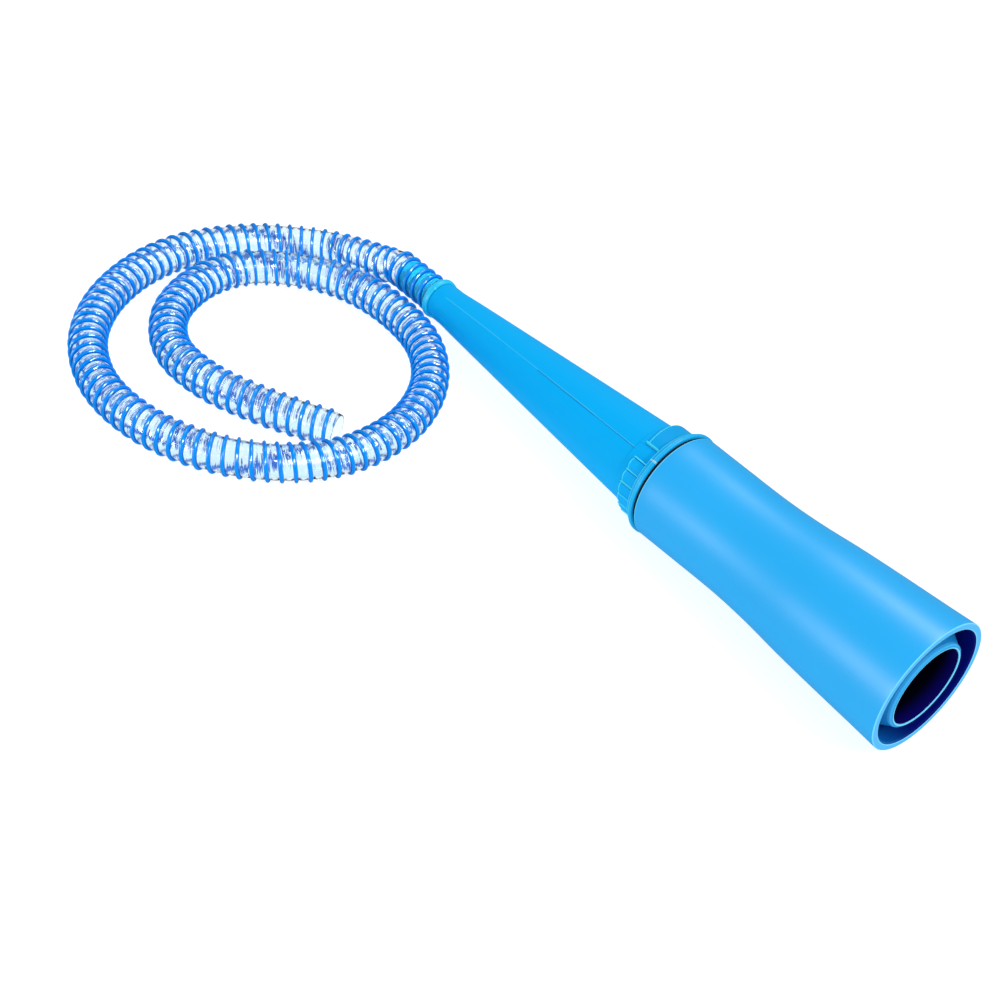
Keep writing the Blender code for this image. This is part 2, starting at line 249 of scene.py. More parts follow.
def make_camera():
    """The camera above the front right, a little rolled."""
    data = bpy.data.cameras.new("camera")
    data.lens = CAMERA_LENS
    data.sensor_width = 36.0
    camera = bpy.data.objects.new("camera", data)
    bpy.context.scene.collection.objects.link(camera)
    azimuth = math.radians(CAMERA_AZIMUTH)
    elevation = math.radians(CAMERA_ELEVATION)
    swing = Matrix.Rotation(azimuth + math.pi / 2, 4, "Z")
    tilt = Matrix.Rotation(math.pi / 2 - elevation, 4, "X")
    roll = Matrix.Rotation(math.radians(CAMERA_ROLL), 4, "Z")
    camera.matrix_world = Matrix.Translation(CAMERA_PLACE) @ swing @ tilt @ roll
    bpy.context.scene.camera = camera


def add_area(name, place, target, size, watts):
    """A soft box, seen by the object but not by the camera."""
    data = bpy.data.lights.new(name, "AREA")
    data.shape = "RECTANGLE"
    data.size, data.size_y = size
    data.energy = watts
    light = bpy.data.objects.new(name, data)
    bpy.context.scene.collection.objects.link(light)
    light.location = place
    light.rotation_euler = (Vector(target) - Vector(place)).to_track_quat("-Z", "X").to_euler()
    light.visible_camera = False
    return light


def mirrored_only(nodes, links):
    """The light path node, and 1 for a ray that was only mirrored, 0 for any other."""
    rays = nodes.new("ShaderNodeLightPath")
    mirrored = nodes.new("ShaderNodeMath")
    mirrored.operation = "SUBTRACT"
    mirrored.use_clamp = True
    links.new(rays.outputs["Is Glossy Ray"], mirrored.inputs[0])
    links.new(rays.outputs["Transmission Depth"], mirrored.inputs[1])
    return rays, mirrored


def make_lights():
    """A key from the right, soft boxes that only show as reflections, and a soft white room."""
    add_area("key", KEY_PLACE, KEY_TARGET, (0.35, 0.35), KEY_WATTS)
    for name, place, across, watts in SOFT_BOXES:
        box = add_area(name, place, BOX_TARGET, across, watts)
        box.visible_diffuse = False
    world = bpy.data.worlds.new("studio")
    bpy.context.scene.world = world
    world.use_nodes = True
    nodes, links = world.node_tree.nodes, world.node_tree.links
    rays, mirrored = mirrored_only(nodes, links)
    room = nodes["Background"]
    room.inputs["Color"].default_value = (1.0, 1.0, 1.0, 1.0)
    room.inputs["Strength"].default_value = ROOM_LIGHT
    reflected = nodes.new("ShaderNodeBackground")
    reflected.inputs["Strength"].default_value = ROOM_REFLECTION
    backdrop = nodes.new("ShaderNodeBackground")
    backdrop.inputs["Color"].default_value = (1.0, 1.0, 1.0, 1.0)
    backdrop.inputs["Strength"].default_value = BACKDROP_LIGHT
    seen = nodes.new("ShaderNodeMath")
    seen.operation = "MAXIMUM"
    links.new(rays.outputs["Is Camera Ray"], seen.inputs[0])
    links.new(rays.outputs["Is Transmission Ray"], seen.inputs[1])
    lit = nodes.new("ShaderNodeMixShader")
    links.new(mirrored.outputs[0], lit.inputs[0])
    links.new(room.outputs[0], lit.inputs[1])
    links.new(reflected.outputs[0], lit.inputs[2])
    shown = nodes.new("ShaderNodeMixShader")
    links.new(seen.outputs[0], shown.inputs[0])
    links.new(lit.outputs[0], shown.inputs[1])
    links.new(backdrop.outputs[0], shown.inputs[2])
    links.new(shown.outputs[0], nodes["World Output"].inputs["Surface"])


def add_glint(pieces):
    """The key's mirror image on the hose alone, bright enough to show on its small ribs."""
    glint = add_area("glint", KEY_PLACE, KEY_TARGET, (0.75, 0.75), GLINT_WATTS)
    glint.visible_diffuse = False
    lit = bpy.data.collections.new("glint_on")
    for piece in pieces:
        lit.objects.link(piece)
    glint.light_linking.receiver_collection = lit


def make_floor():
    """A pale floor that glows a little, so its shadows stay faint, and that is mirrored as a dim one."""
    mesh = bpy.data.meshes.new("floor")
    half = FLOOR_HALF
    corners = [(-half, -half, 0), (half, -half, 0), (half, half, 0), (-half, half, 0)]
    mesh.from_pydata(corners, [], [(0, 1, 2, 3)])
    floor = bpy.data.objects.new("floor", mesh)
    bpy.context.scene.collection.objects.link(floor)
    floor.location.z = -0.2 * MM
    material, shader = new_material("pale_floor", (0.34, 0.34, 0.34), 0.9)
    shader.inputs["Specular IOR Level"].default_value = 0.0
    shader.inputs["Emission Color"].default_value = (1.0, 1.0, 1.0, 1.0)
    shader.inputs["Emission Strength"].default_value = FLOOR_GLOW
    nodes, links = material.node_tree.nodes, material.node_tree.links
    mirrored = mirrored_only(nodes, links)[1]
    dim = nodes.new("ShaderNodeEmission")
    dim.inputs["Strength"].default_value = FLOOR_REFLECTION
    choice = nodes.new("ShaderNodeMixShader")
    links.new(mirrored.outputs[0], choice.inputs[0])
    links.new(shader.outputs[0], choice.inputs[1])
    links.new(dim.outputs[0], choice.inputs[2])
    links.new(choice.outputs[0], nodes["Material Output"].inputs["Surface"])
    mesh.materials.append(material)


# ---------------------------------------------------------------- materials


def new_material(name, colour, roughness):
    material = bpy.data.materials.new(name)
    material.use_nodes = True
    shader = material.node_tree.nodes["Principled BSDF"]
    shader.inputs["Base Color"].default_value = (*colour, 1.0)
    shader.inputs["Roughness"].default_value = roughness
    return material, shader


def add_moulded_skin(material, shader, colour, vary, grain, depth, roughness, spread):
    """Moulded plastic: slow colour drift, a fine grain, and a roughness that varies a little."""
    nodes, links = material.node_tree.nodes, material.node_tree.links
    place = nodes.new("ShaderNodeTexCoord")
    drift = nodes.new("ShaderNodeTexNoise")
    drift.inputs["Scale"].default_value = 18.0
    drift.inputs["Detail"].default_value = 3.0
    links.new(place.outputs["Object"], drift.inputs["Vector"])
    tint = nodes.new("ShaderNodeMix")
    tint.data_type = "RGBA"
    tint.inputs[6].default_value = (*[c * (1.0 - vary) for c in colour], 1.0)
    tint.inputs[7].default_value = (*[min(1.0, c * (1.0 + vary)) for c in colour], 1.0)
    links.new(drift.outputs["Fac"], tint.inputs[0])
    links.new(tint.outputs[2], shader.inputs["Base Color"])
    fine = nodes.new("ShaderNodeTexNoise")
    fine.inputs["Scale"].default_value = grain
    fine.inputs["Detail"].default_value = 2.0
    links.new(place.outputs["Object"], fine.inputs["Vector"])
    bump = nodes.new("ShaderNodeBump")
    bump.inputs["Strength"].default_value = depth
    bump.inputs["Distance"].default_value = 0.0001
    links.new(fine.outputs["Fac"], bump.inputs["Height"])
    links.new(bump.outputs["Normal"], shader.inputs["Normal"])
    rough = nodes.new("ShaderNodeMapRange")
    rough.inputs["To Min"].default_value = roughness - spread
    rough.inputs["To Max"].default_value = roughness + spread
    links.new(drift.outputs["Fac"], rough.inputs["Value"])
    links.new(rough.outputs["Result"], shader.inputs["Roughness"])


def moulded(name, colour, roughness, specular, grain=2200.0, depth=0.25, vary=0.03, spread=0.04):
    material, shader = new_material(name, colour, roughness)
    shader.inputs["Specular IOR Level"].default_value = specular
    add_moulded_skin(material, shader, colour, vary, grain, depth, roughness, spread)
    return material


def painted_shade_gradient(name, dark, light, axis, start, stop):
    """Painted shade down inside a bore: dark at one place along the axis and lighter at another, in metres.
    """
    material, shader = new_material(name, dark, 0.55)
    shader.inputs["Specular IOR Level"].default_value = 0.04
    nodes, links = material.node_tree.nodes, material.node_tree.links
    place = nodes.new("ShaderNodeTexCoord")
    parts = nodes.new("ShaderNodeSeparateXYZ")
    links.new(place.outputs["Object"], parts.inputs[0])
    across = nodes.new("ShaderNodeMapRange")
    across.interpolation_type = "SMOOTHSTEP"
    across.inputs["From Min"].default_value = start
    across.inputs["From Max"].default_value = stop
    links.new(parts.outputs[axis], across.inputs["Value"])
    tint = nodes.new("ShaderNodeMix")
    tint.data_type = "RGBA"
    tint.inputs[6].default_value = (*dark, 1.0)
    tint.inputs[7].default_value = (*light, 1.0)
    links.new(across.outputs["Result"], tint.inputs[0])
    links.new(tint.outputs[2], shader.inputs["Base Color"])
    return material


def clear_plastic(name):
    """The hose wall between the ribs: soft clear plastic, faintly blue."""
    material, shader = new_material(name, (0.84, 0.95, 0.995), 0.02)
    shader.inputs["Transmission Weight"].default_value = 1.0
    shader.inputs["IOR"].default_value = 1.4
    return material, shader


def rippled_plastic():
    """The wall's inner side, with fine ripples along the winding that break up what is seen through it."""
    material, shader = clear_plastic("hose_clear_inside")
    nodes, links = material.node_tree.nodes, material.node_tree.links
    place = nodes.new("ShaderNodeUVMap")
    place.uv_map = "winding"
    stretch = nodes.new("ShaderNodeMapping")
    stretch.inputs["Scale"].default_value = (WALL_RIPPLES, WALL_STREAKS, 1.0)
    links.new(place.outputs["UV"], stretch.inputs["Vector"])
    ripple = nodes.new("ShaderNodeTexNoise")
    ripple.inputs["Scale"].default_value = 1.0
    ripple.inputs["Detail"].default_value = 2.0
    links.new(stretch.outputs["Vector"], ripple.inputs["Vector"])
    bump = nodes.new("ShaderNodeBump")
    bump.inputs["Strength"].default_value = 1.0
    bump.inputs["Distance"].default_value = WALL_RIPPLE_DEPTH * MM
    links.new(ripple.outputs["Fac"], bump.inputs["Height"])
    links.new(bump.outputs["Normal"], shader.inputs["Normal"])
    return material


def rib_plastic(name, colour, glow):
    """The hose's spiral rib: glossy blue that lets a little light through, with a painted glow that lifts
    its shade.
    """
    material, shader = new_material(name, colour, 0.06)
    shader.inputs["Transmission Weight"].default_value = 0.5
    shader.inputs["IOR"].default_value = 1.5
    # The emission is a painted glow, not a lamp.
    shader.inputs["Emission Color"].default_value = (0.0, 0.32, 1.0, 1.0)
    shader.inputs["Emission Strength"].default_value = glow
    return material


# ---------------------------------------------------------------- geometry


def smooth_line(points, per_span):
    """Points on a Catmull-Rom curve through the given vectors."""
    ends = [2 * points[0] - points[1]] + points + [2 * points[-1] - points[-2]]
    line = []
    for before, start, stop, after in zip(ends, ends[1:], ends[2:], ends[3:]):
        for step in range(per_span):
            u = step / per_span
            even = 2 * before - 5 * start + 4 * stop - after
            odd = 3 * start - before - 3 * stop + after
            line.append(0.5 * (2 * start + (stop - before) * u + even * u * u + odd * u**3))
    line.append(points[-1])
    return line


def curved(pairs, per_span=6):
    """Outline corners on a smooth curve through (station, radius) pairs."""
    line = smooth_line([Vector(pair) for pair in pairs], per_span)
    return [(point[0], point[1], 0.0) for point in line]


def rounded(corners, steps=4):
    """A closed outline from (station, radius, rounding) corners, with each corner rounded off."""
    outline = []
    for index, (station, radius, rounding) in enumerate(corners):
        here = Vector((station, radius))
        if rounding == 0.0:
            outline.append((station, radius))
            continue
        before = Vector(corners[index - 1][:2]) - here
        after = Vector(corners[(index + 1) % len(corners)][:2]) - here
        start = here + before.normalized() * min(rounding, 0.45 * before.length)
        stop = here + after.normalized() * min(rounding, 0.45 * after.length)
        for step in range(steps + 1):
            u = step / steps
            point = start * (1 - u) ** 2 + here * (2 * u * (1 - u)) + stop * u * u
            outline.append((point[0], point[1]))
    return outline


def around(phi, middle):
    """How far phi lies from a middle angle, in degrees from -180 to 180."""
    return (phi - middle + 180.0) % 360.0 - 180.0


def on_tool(station, radius, phi):
    """The point at a station, a radius and an angle round the tool axis."""
    angle = math.radians(phi)
    return MOUTH - AXIS * (station * MM) + (UP * math.cos(angle) + SIDE * math.sin(angle)) * (radius * MM)


def add_piece(name, points, faces, materials, face_slots=None, sharp=34.0):
    mesh = bpy.data.meshes.new(name)
    mesh.from_pydata(points, [], faces)
    for material in materials:
        mesh.materials.append(material)
    if face_slots:
        mesh.polygons.foreach_set("material_index", face_slots)
    work = bmesh.new()
    work.from_mesh(mesh)
    bmesh.ops.recalc_face_normals(work, faces=work.faces)
    work.to_mesh(mesh)
    work.free()
    mesh.shade_smooth()
    mesh.set_sharp_from_angle(angle=math.radians(sharp))
    piece = bpy.data.objects.new(name, mesh)
    bpy.context.scene.collection.objects.link(piece)
    return piece


def even_angles(count):
    return [360.0 * index / count for index in range(count)]


def turn(name, outline, materials, slot_of=None, angles=None, shift=None, parting=None):
    """A turned piece.

    slot_of(station, radius, phi) picks a face's material, shift(station, radius, phi) moves a point out or
    in, and parting(station) turns the whole row of points at a station by that many degrees.
    """
    angles = angles or even_angles(160)
    points = []
    for station, radius in outline:
        twist = parting(station) if parting else 0.0
        for phi in angles:
            extra = shift(station, radius, phi) if shift else 0.0
            points.append(on_tool(station, radius + extra, phi + twist))
    faces, slots = [], []
    rows, columns = len(outline), len(angles)
    for row in range(rows):
        below = (row + 1) % rows
        middle = [(outline[row][k] + outline[below][k]) / 2 for k in (0, 1)]
        for column in range(columns):
            beside = (column + 1) % columns
            faces.append((row * columns + column, below * columns + column,
                          below * columns + beside, row * columns + beside))
            phi = angles[column] + (angles[beside] - angles[column]) % 360.0 / 2
            slots.append(slot_of(*middle, phi) if slot_of else 0)
    return add_piece(name, points, faces, materials, slots)


def ball(name, centre, radius, materials, rings=12, columns=20):
    """A small sphere: two poles and the rings between them, with its faces in a fixed order."""
    points = [centre + Vector((0.0, 0.0, radius))]
    for ring in range(1, rings):
        polar = math.pi * ring / rings
        for column in range(columns):
            angle = 2 * math.pi * column / columns
            level = Vector((math.cos(angle), math.sin(angle), 0.0)) * math.sin(polar)
            points.append(centre + (level + Vector((0.0, 0.0, math.cos(polar)))) * radius)
    points.append(centre - Vector((0.0, 0.0, radius)))
    last_ring, bottom = 1 + (rings - 2) * columns, len(points) - 1
    faces = []
    for column in range(columns):
        beside = (column + 1) % columns
        faces.append((0, 1 + column, 1 + beside))
        for above in range(1, last_ring, columns):
            below = above + columns
            faces.append((above + column, below + column, below + beside, above + beside))
        faces.append((last_ring + column, bottom, last_ring + beside))
    return add_piece(name, points, faces, materials)


def finish_piece(piece, body, nodes):
    """Rides the piece on its body, in place of its CAD nodes."""
    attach(piece, body)
    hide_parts(*nodes)


# ---------------------------------------------------------------- adapter and reducer


def build_adapter(skin, rim, bore, edge):
    """The flared sleeve: rounded mouth rim, S-shaped side and thin chamfered tail."""
    land_back, land_front, land_foot = SWIVEL_RIB
    side = curved([(0.9, MOUTH_RADIUS - 0.05)] + ADAPTER_SIDE)
    corners = [(0.0, MOUTH_RADIUS - 0.05, 0.7)] + side
    corners += [(ADAPTER_LENGTH - 0.5, ADAPTER_TAIL, 0.4), (ADAPTER_LENGTH, ADAPTER_TAIL - 0.7, 0.3)]
    corners += [
        (ADAPTER_LENGTH, SWIVEL_LAND, 0.3),
        (SWIVEL_BACK, SWIVEL_LAND, 0.0),
        (SWIVEL_BACK, SWIVEL_BORE, 0.0),
        (land_back, SWIVEL_BORE, 0.0),
        (land_back, SWIVEL_LAND, 0.0),
        (land_front, SWIVEL_LAND, 0.0),
        (land_foot, SWIVEL_BORE, 0.0),
        (SWIVEL_FRONT, SWIVEL_BORE, 0.0),
        (SWIVEL_FRONT - 0.8, PASSAGE_RADIUS, 0.3),
    ]
    corners += [(station, radius, 0.0) for station, radius in ADAPTER_BORE + REDUCER_SEAT]
    corners += [(0.9, MOUTH_BORE, 0.2), (0.0, RIM_INSIDE, 0.3)]
    seat_end = ADAPTER_BORE[-1][0]

    def slot_of(station, radius, phi):
        """0 skin, 1 rim, 2 bore in painted shade, 3 painted highlight on the rim's and tail's edges."""
        if station < 0.6 and radius > RIM_INSIDE - 0.1:
            return 1 if RIM_INSIDE + RIM_EDGE_INSIDE < radius < MOUTH_RADIUS - RIM_EDGE_OUTSIDE else 3
        if station > ADAPTER_LENGTH - 1.1 and radius > ADAPTER_TAIL - 0.8:
            return 3
        on_bore = radius < 25.0 if station > seat_end else radius < RIM_INSIDE
        return 2 if on_bore else 0

    piece = turn("adapter_shell", rounded(corners), [skin, rim, bore, edge], slot_of)
    finish_piece(piece, "adapter", ["adapter_sleeve"])


def build_reducer(skin, rim, bore, edge, shade):
    """The insert: rounded lip, conical web, seated sleeve and small socket."""
    corners = [
        (0.5, LIP_RADIUS - 0.9, 0.3),
        (1.3, LIP_RADIUS + 0.1, 0.3),
        (LIP_END, LIP_RADIUS + 0.3, 0.0),
        (3.2, LIP_RADIUS + 0.9, 0.6),
        (SLEEVE_START - 1.5, REDUCER_BASE - 0.6, 0.0),
        (SLEEVE_START, REDUCER_BASE, 0.5),
        (REDUCER_LENGTH, REDUCER_BASE, 0.4),
        (REDUCER_LENGTH, REDUCER_BASE - REDUCER_WALL, 0.4),
        (SLEEVE_START + 1.5, REDUCER_BASE - REDUCER_WALL, 0.0),
        (8.5, LIP_RADIUS - 0.2, 0.5),
        (SOCKET_DEPTH, LIP_RADIUS - 0.8, 0.3),
        (SOCKET_DEPTH, SOCKET_RADIUS - 0.7, 0.3),
        (14.0, SOCKET_RADIUS - 0.35, 0.0),
        (5.0, SOCKET_RADIUS - 0.1, 0.0),
        (0.5, SOCKET_RADIUS + 0.15, 0.4),
    ]

    def slot_of(station, radius, phi):
        """0 skin, 1 lip, 2 socket in painted shade, 3 painted highlight on the edge, 4 web in painted
        shade, a deeper blue.
        """
        if station < 0.9:
            return 3 if radius < SOCKET_RADIUS + 0.8 else 1
        if radius < SOCKET_RADIUS + 0.2:
            return 2
        return 0 if station < LIP_END else 4

    piece = turn("reducer_insert", rounded(corners), [skin, rim, bore, edge, shade], slot_of)
    finish_piece(piece, "reducer", ["reducer_sleeve"])


# ---------------------------------------------------------------- grip, collar and ring


def parting_angle(station):
    """Where the mould line lies at a station, in degrees."""
    share = (station - GRIP_SIDE[0][0]) / (GRIP_END - GRIP_SIDE[0][0])
    share = min(1.0, max(0.0, share))
    return PARTING_AT_COLLAR + (PARTING_AT_HOSE - PARTING_AT_COLLAR) * share


def ridge_angles():
    """Angles from the mould line, close together where the two ridges are."""
    near = [-3.2, -2.2, -1.6, -1.1, -0.6, 0.0, 0.6, 1.1, 1.6, 2.2, 3.2]
    between = [6.0 + 3.0 * index for index in range(57)]
    return near[5:] + between + [180.0 + offset for offset in near] + [180.0 + a for a in between] + [
        360.0 + offset for offset in near[:5]
    ]


def build_grip(skin, bore, edge, shade):
    """The tapered grip: nipple inside the adapter, taper with a mould ridge on each side, straight neck."""
    taper_start, taper_radius = GRIP_SIDE[0]
    inside_radius = taper_radius - GRIP_WALL
    corners = [
        (GRIP_START, NIPPLE_RADIUS + 0.4, 0.2),
        (GRIP_START + 1.0, NIPPLE_BEAD, 0.3),
        (GRIP_START + 3.0, NIPPLE_BEAD, 0.3),
        (GRIP_START + 3.6, NIPPLE_RADIUS, 0.0),
        (150.0, NIPPLE_RADIUS - 0.1, 0.0),
    ]
    corners += curved(GRIP_SIDE)
    corners += [
        (308.5, GRIP_NECK, 0.0),
        (GRIP_END, GRIP_NECK, 0.35),
        (GRIP_END, TAIL_RADIUS + 0.3, 0.0),
        (GRIP_END - 12.0, TAIL_RADIUS + 0.3, 0.0),
        (taper_start, inside_radius, 0.0),
        (GRIP_START, inside_radius, 0.3),
    ]

    def ridge(station, radius, phi):
        if station < taper_start or radius < GRIP_NECK - 0.1:
            return 0.0
        inside = radius < inside_radius + 0.1 and station < taper_start + 1.0
        off = min(abs(phi), abs(phi - 180.0), abs(phi - 360.0))
        reach = math.radians(off) * radius / RIDGE_HALF_WIDTH
        fade = min(max((RIDGE_STOP - station) / RIDGE_FADE, 0.0), 1.0)
        return 0.0 if inside or reach > 1.0 else RIDGE_HEIGHT * fade * (1.0 - reach)

    def slot_of(station, radius, phi):
        """0 skin, 1 bore in painted shade, 2 the mould line's painted highlight, 3 its painted shade."""
        if radius < GRIP_NECK - 0.2 or (station < taper_start + 1.0 and radius < taper_radius - 0.6):
            return 1
        off = (phi + 90.0) % 180.0 - 90.0
        side = math.radians(off) * radius
        if not taper_start < station < RIDGE_STOP or abs(side) > RIDGE_HALF_WIDTH + 0.1:
            return 0
        if side < 0.0:
            return 2
        return 3 if station < RIDGE_SHADED else 0

    materials = [skin, bore, edge, shade]
    piece = turn("grip_cone", rounded(corners), materials, slot_of, ridge_angles(), ridge, parting_angle)
    finish_piece(piece, "handle", ["handle_cone"])


def pad_back(phi):
    """Where a pad ends towards the hose: a long arc on the thumb pad, small scallops between the ribs."""
    off = around(phi, THUMB_MIDDLE) / THUMB_REACH
    if abs(off) < 1.0:
        return RIB_BACK + THUMB_ARC * (1.0 - off * off)
    share = ((phi - FIRST_RIB) / RIB_SPACING) % 1.0
    return RIB_BACK + SCALLOP * math.sin(math.pi * share)


def rib_offset(phi):
    """The distance round the collar from the nearest rib, in millimetres."""
    nearest = min((around(phi, angle) for angle in RIB_ANGLES + [THUMB_RIB]), key=abs)
    return math.radians(nearest) * PAD_RADIUS


def collar_surface(station, phi):
    """The collar's outer radius and material slot: 0 skin, 1 painted highlight on rib crests and pad edges,
    2 painted shade beside the ribs, 3 thumb pad in painted shade.
    """
    back = pad_back(phi)
    gap = min(abs(around(phi, GAP_MIDDLE)), abs(around(phi, GAP_MIDDLE + 180.0)))
    pad = min(1.0, max(0.0, (gap - GAP_HALF_ANGLE) / PAD_SIDE))
    ramp = min(1.0, max(0.0, (back - station) / PAD_RISE))
    ramp = ramp * ramp * (3 - 2 * ramp)
    fall = min(1.0, max(0.0, (station - COLLAR_FALL) / (COLLAR_BACK - COLLAR_FALL)))
    base = COLLAR_BASE - (COLLAR_BASE - COLLAR_TAIL) * fall
    radius = base + (PAD_RADIUS - base) * pad * ramp
    from_front = min(1.0, max(0.0, (station - COLLAR_FRONT) / COLLAR_CHAMFER))
    radius -= COLLAR_CHAMFER_DEPTH * (1.0 - from_front)
    slot = 0
    if pad > 0.9 and PAD_LINE[0] < back - station < PAD_LINE[1]:
        slot = 1
    elif pad > 0.9 and ramp == 1.0 and abs(around(phi, THUMB_MIDDLE)) < THUMB_REACH:
        slot = 3
    off = rib_offset(phi)
    if COLLAR_FRONT + 0.6 < station < back - 0.2:
        if abs(off) < RIB_HALF_WIDTH:
            return RIB_RADIUS - RIB_CROWN * (off / RIB_HALF_WIDTH) ** 2, 1
        # Beside each rib a sunk strip drawn in painted shade.
        if RIB_HALF_WIDTH < off < RIB_FOOT_END * RIB_HALF_WIDTH:
            return radius - RIB_FOOT_DEPTH, 2
    return radius, slot


def build_collar(materials):
    """The grip collar, as a grid fine enough for its ribs and pad edges."""
    steps = round((COLLAR_BACK - COLLAR_FRONT) / COLLAR_STEP)
    stations = [COLLAR_FRONT + COLLAR_STEP * index for index in range(steps + 1)]
    columns = COLLAR_COLUMNS
    points, faces, slots = [], [], []
    for station in stations:
        for column in range(columns):
            phi = 360.0 * column / columns
            points.append(on_tool(station, collar_surface(station, phi)[0], phi))
    for station in (stations[-1], stations[0]):
        for column in range(columns):
            points.append(on_tool(station, COLLAR_BORE, 360.0 * column / columns))
    rows = len(stations) + 2
    for row in range(rows):
        below = (row + 1) % rows
        for column in range(columns):
            beside = (column + 1) % columns
            faces.append((row * columns + column, below * columns + column,
                          below * columns + beside, row * columns + beside))
            outside = row < len(stations) - 1
            phi = 360.0 * (column + 0.5) / columns
            slots.append(collar_surface(stations[row] + COLLAR_STEP / 2, phi)[1] if outside else 0)
    piece = add_piece("grip_collar", points, faces, materials, slots, sharp=40.0)
    finish_piece(piece, "collar", ["lock_collar"])


def build_ring(skin, bright, pale):
    """The split retaining ring: two rounded bands with a groove between them, cut through at its slit."""
    corners = [
        (RING_FRONT, RING_RADIUS - 0.05, 0.45),
        (RING_FRONT + 1.7, RING_RADIUS - 0.1, 0.4),
        (RING_FRONT + 2.0, RING_BACK_RADIUS - 0.35, 0.15),
        (RING_FRONT + 2.5, RING_BACK_RADIUS, 0.2),
        (RING_BACK, RING_BACK_RADIUS - 0.1, 0.4),
        (RING_BACK, COLLAR_BORE + 0.1, 0.2),
        (RING_FRONT, COLLAR_BORE + 0.1, 0.2),
    ]
    outline = rounded(corners, RING_ROUNDING)
    half_slit = math.degrees(SLIT_HALF_WIDTH / RING_RADIUS)
    lit_end = math.degrees(SLIT_LIT / RING_RADIUS)
    start, stop = SLIT_ANGLE + half_slit, SLIT_ANGLE + 360.0 - half_slit
    first, last = start + lit_end, stop - lit_end
    between = [first + (last - first) * index / RING_COLUMNS for index in range(RING_COLUMNS + 1)]
    angles = [start] + between + [stop]
    count = len(angles) - 1
    points = [on_tool(station, radius, phi) for phi in angles for station, radius in outline]
    size = len(outline)
    faces = []
    for row in range(count):
        here, there = row * size, (row + 1) * size
        for k in range(size):
            beside = (k + 1) % size
            faces.append((here + k, here + beside, there + beside, there + k))
    faces += [tuple(range(size)), tuple(count * size + k for k in range(size))]
    bright_corners = (1, 4)  # the back corner of each band, in painted highlight
    edges = [
        corner * (RING_ROUNDING + 1) + facet
        for corner in bright_corners
        for facet in range(RING_ROUNDING)
    ]
    slots = [
        2 if row in (0, count - 1) else 1 if k in edges else 0
        for row in range(count)
        for k in range(size)
    ]
    slots += [2, 2]
    piece = add_piece("split_ring", points, faces, [skin, bright, pale], slots)
    finish_piece(piece, "handle", ["retaining_ring"])


def build_seal(rubber):
    """The seal washer, a rounded black ring that shows as a thin line in the groove."""
    corners = [
        (SEAL_FRONT, SEAL_RADIUS, 0.25),
        (SEAL_BACK, SEAL_RADIUS, 0.25),
        (SEAL_BACK, SEAL_BORE, 0.2),
        (SEAL_FRONT, SEAL_BORE, 0.2),
    ]
    piece = turn("seal_washer", rounded(corners), [rubber])
    finish_piece(piece, "adapter", ["swivel_seal"])


def build_connector(skin, flange, edge):
    """The hose connector: rolled flange, small moulding nib, and a barbed tail inside the hose."""
    stub = GRIP_END - 11.0
    corners = [
        (stub, TAIL_RADIUS - 0.3, 0.2),
        (FLANGE_FRONT, TAIL_RADIUS, 0.0),
        (FLANGE_FRONT, FLANGE_RADIUS - 0.35, 0.6),
        (FLANGE_FRONT + 1.1, FLANGE_RADIUS - 0.25, 0.5),
        (FLANGE_FRONT + 1.6, FLANGE_RADIUS, 0.5),
        (FLANGE_BACK, FLANGE_RADIUS - 0.05, 0.9),
        (FLANGE_BACK, TAIL_RADIUS, 0.3),
    ]
    pitch = (TAIL_END - FLANGE_BACK) / (BARBS + 1)
    for index in range(BARBS):
        start = FLANGE_BACK + (index + 0.8) * pitch
        corners += [(start, TAIL_RADIUS, 0.0), (start, BARB_RADIUS, 0.2)]
        corners.append((start + 0.7 * pitch, TAIL_RADIUS, 0.3))
    corners += [(TAIL_END, TAIL_RADIUS, 0.5), (TAIL_END, TAIL_BORE, 0.3), (stub, TAIL_BORE, 0.3)]

    def slot_of(station, radius, phi):
        """0 tail, 1 flange, 2 painted highlight on the flange's back edge."""
        if radius < TAIL_RADIUS + 0.6:
            return 0
        return 2 if abs(station - FLANGE_BACK) < 0.7 and radius > FLANGE_RADIUS - 0.8 else 1

    piece = turn("hose_connector_fine", rounded(corners), [skin, flange, edge], slot_of, even_angles(96))
    finish_piece(piece, "handle", ["hose_connector"])
    place = on_tool(FLANGE_FRONT + 0.35, FLANGE_RADIUS - 0.55, NIB_ANGLE)
    # The nib is drawn in the painted highlight colour.
    nib = ball("connector_nib", place, NIB_RADIUS * MM, [edge])
    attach(nib, "handle")


# ---------------------------------------------------------------- hose


def hose_line(spacing):
    """The hose's centreline, from the flange to the open end, as evenly spaced points."""
    base = Vector((MOUTH.x, 0.0, 0.0))
    laid = [base + Vector(point) * MM for point in HOSE_ROUTE]
    straight = on_tool(HOSE_STRAIGHT_END, 0.0, 0.0)
    start = on_tool(HOSE_START, 0.0, 0.0)
    first = [start.lerp(straight, index / 40) for index in range(40)]
    fine = first + smooth_line([straight] + laid, 40)
    travelled = [0.0]
    for here, there in zip(fine, fine[1:]):
        travelled.append(travelled[-1] + (there - here).length)
    count = round(travelled[-1] / spacing)
    line, index = [], 1
    for step in range(count + 1):
        distance = travelled[-1] * step / count
        while index < len(fine) - 1 and travelled[index] < distance:
            index += 1
        share = (distance - travelled[index - 1]) / (travelled[index] - travelled[index - 1])
        line.append(fine[index - 1].lerp(fine[index], share))
    return line, travelled[-1]


def carried_frames(line):
    """For each point of a line its two cross directions, carried along without twisting."""
    frames = []
    across = UP.copy()
    for index in range(len(line)):
        ahead = line[min(index + 1, len(line) - 1)]
        behind = line[max(index - 1, 0)]
        along = (ahead - behind).normalized()
        across = (across - along * across.dot(along)).normalized()
        frames.append((across.copy(), along.cross(across)))
    return frames


